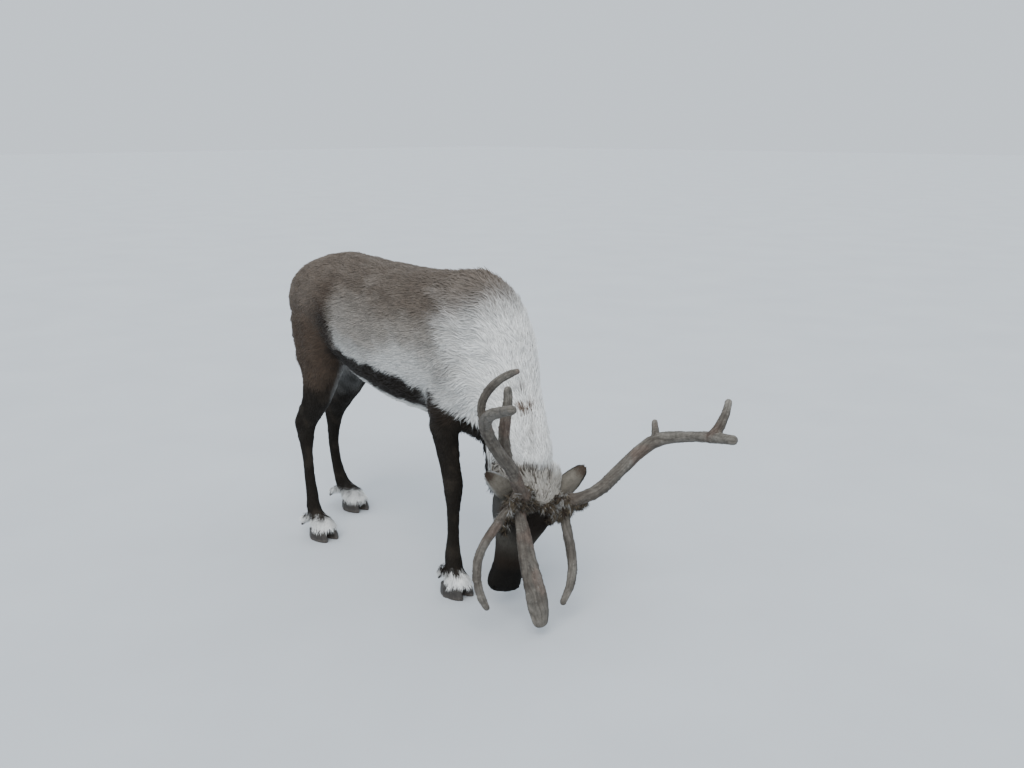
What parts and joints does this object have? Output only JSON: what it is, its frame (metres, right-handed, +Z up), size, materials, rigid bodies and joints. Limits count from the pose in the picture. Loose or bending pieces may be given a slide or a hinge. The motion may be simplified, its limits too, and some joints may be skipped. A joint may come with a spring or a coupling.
{
  "type": "reindeer model",
  "caption": "Life-size still model of a standing reindeer bull with its head down to the ground, its antlers spread forward and to the side, hooves flat on the floor.",
  "frame": {"origin": "middle of the model's footprint on the floor it stands on", "axes": "+X is the way the animal faces, +Y its left side, +Z up"},
  "size_m": [1.8632, 0.7182, 1.0756],
  "materials": {
    "coat_brown": "short dense grey-brown fur",
    "coat_grey": "long pale grey fur",
    "coat_dark": "short dark brown fur",
    "coat_white": "white fur",
    "antler": "matt grey-brown antler with traces of velvet",
    "hoof_horn": "worn black horn",
    "eye": "wet dark brown eye"
  },
  "bodies": {
    "root": {"hoof_foreleg_right_inner": "hoof_horn", "dewclaw_foreleg_right_inner": "hoof_horn", "hoof_foreleg_right_outer": "hoof_horn", "dewclaw_foreleg_right_outer": "hoof_horn", "foreleg_right": "coat_dark", "hoof_foreleg_left_inner": "hoof_horn", "dewclaw_foreleg_left_inner": "hoof_horn", "hoof_foreleg_left_outer": "hoof_horn", "dewclaw_foreleg_left_outer": "hoof_horn", "foreleg_left": "coat_dark", "hoof_hindleg_right_inner": "hoof_horn", "dewclaw_hindleg_right_inner": "hoof_horn", "hoof_hindleg_right_outer": "hoof_horn", "dewclaw_hindleg_right_outer": "hoof_horn", "hindleg_right": "coat_dark", "hoof_hindleg_left_inner": "hoof_horn", "dewclaw_hindleg_left_inner": "hoof_horn", "hoof_hindleg_left_outer": "hoof_horn", "dewclaw_hindleg_left_outer": "hoof_horn", "hindleg_left": "coat_dark", "torso": "coat_brown", "neck": "coat_grey", "head": "coat_grey", "ear_left": "coat_grey", "ear_right": "coat_grey", "eye_right": "eye", "eye_left": "eye", "tail": "coat_white", "antler_right_beam_lower": "antler", "antler_right_beam_middle": "antler", "antler_right_beam_end": "antler", "antler_right_brow_tine": "antler", "antler_right_bez_tine": "antler", "antler_right_inner_tine": "antler", "antler_right_back_tine": "antler", "antler_left_beam_lower": "antler", "antler_left_beam_middle": "antler", "antler_left_beam_end": "antler", "antler_left_bez_tine": "antler", "antler_left_short_tine": "antler", "antler_left_end_tine": "antler"}
  },
  "joints": []
}
